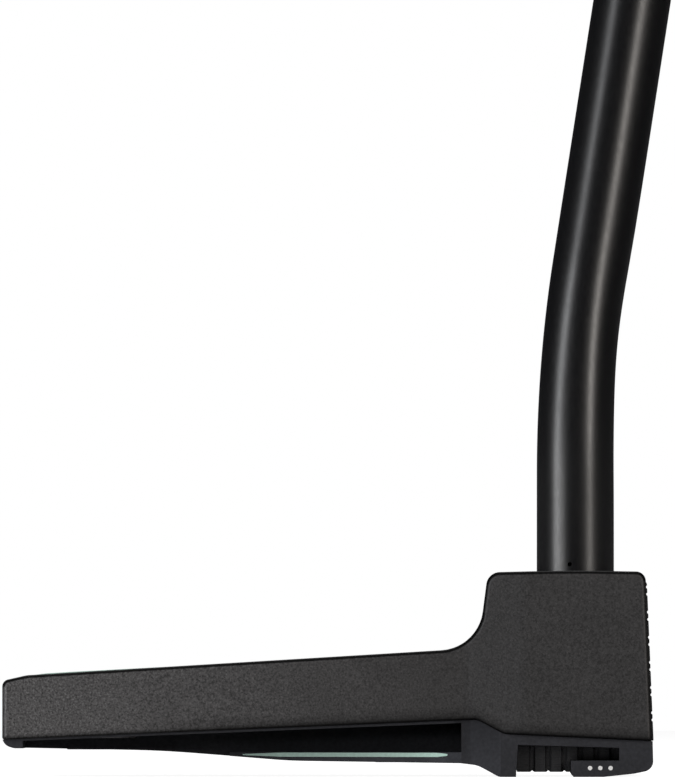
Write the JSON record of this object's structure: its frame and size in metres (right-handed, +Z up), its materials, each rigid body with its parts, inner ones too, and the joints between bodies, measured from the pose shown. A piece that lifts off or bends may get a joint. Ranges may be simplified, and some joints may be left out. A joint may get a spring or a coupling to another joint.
{
  "type": "mallet putter",
  "caption": "Mallet golf putter: black head with a grooved face insert, sole weight bar and screw-in weights on a double-bend steel shaft with a pistol grip.",
  "frame": {"origin": "on the ground, at the middle of the flat pad under the front of the sole, on the head's centre plane", "axes": "+X towards the target (the way the face looks), +Y from toe to heel (towards the golfer), +Z up"},
  "size_m": [0.0976, 0.3562, 0.8264],
  "materials": {
    "black_anodised": "bead-blasted black anodised",
    "black_steel": "satin black coating",
    "face_polymer": "moulded matt black",
    "glue": "cured epoxy",
    "bar_steel": "matt black coating",
    "screw_steel": "black oxide",
    "weight_steel": "turned, dark nickel plated",
    "mint_fill": "satin mint paint fill",
    "white_fill": "white paint fill",
    "badge_alloy": "fine turned, dark anodised",
    "shaft_black": "satin black plated",
    "plug_foam": "closed-cell plug",
    "band_film": "printed film",
    "tape_fabric": "double-sided paper tape",
    "grip_rubber": "matt moulded rubber",
    "seal_rubber": "nitrile rubber"
  },
  "bodies": {
    "root": {"head_body": "black_anodised", "sole_frame": "black_steel", "face_plate": "face_polymer", "face_adhesive": "glue", "weight_bar": "bar_steel", "weight_bar_screws": "screw_steel", "frame_screws": "screw_steel", "sole_inlays": "mint_fill", "sole_badge": "badge_alloy", "index_marks": "white_fill", "crown_line": "mint_fill", "ball_lines": "mint_fill", "shaft": "shaft_black", "shaft_epoxy": "glue", "shaft_plug": "plug_foam", "shaft_band": "band_film", "grip_tape": "tape_fabric", "grip": "grip_rubber", "grip_cap": "grip_rubber"},
    "toe_slug": {"toe_weight": "weight_steel", "toe_weight_seal": "seal_rubber"},
    "heel_slug": {"heel_weight": "weight_steel", "heel_weight_seal": "seal_rubber"}
  },
  "joints": [
    {"name": "toe_weight_travel", "type": "slide", "parent": "root", "child": "toe_slug", "axis": [0, 0, -1], "range_m": [0, 0.0045]},
    {"name": "heel_weight_travel", "type": "slide", "parent": "root", "child": "heel_slug", "axis": [0, 0, -1], "range_m": [0, 0.0045]}
  ]
}
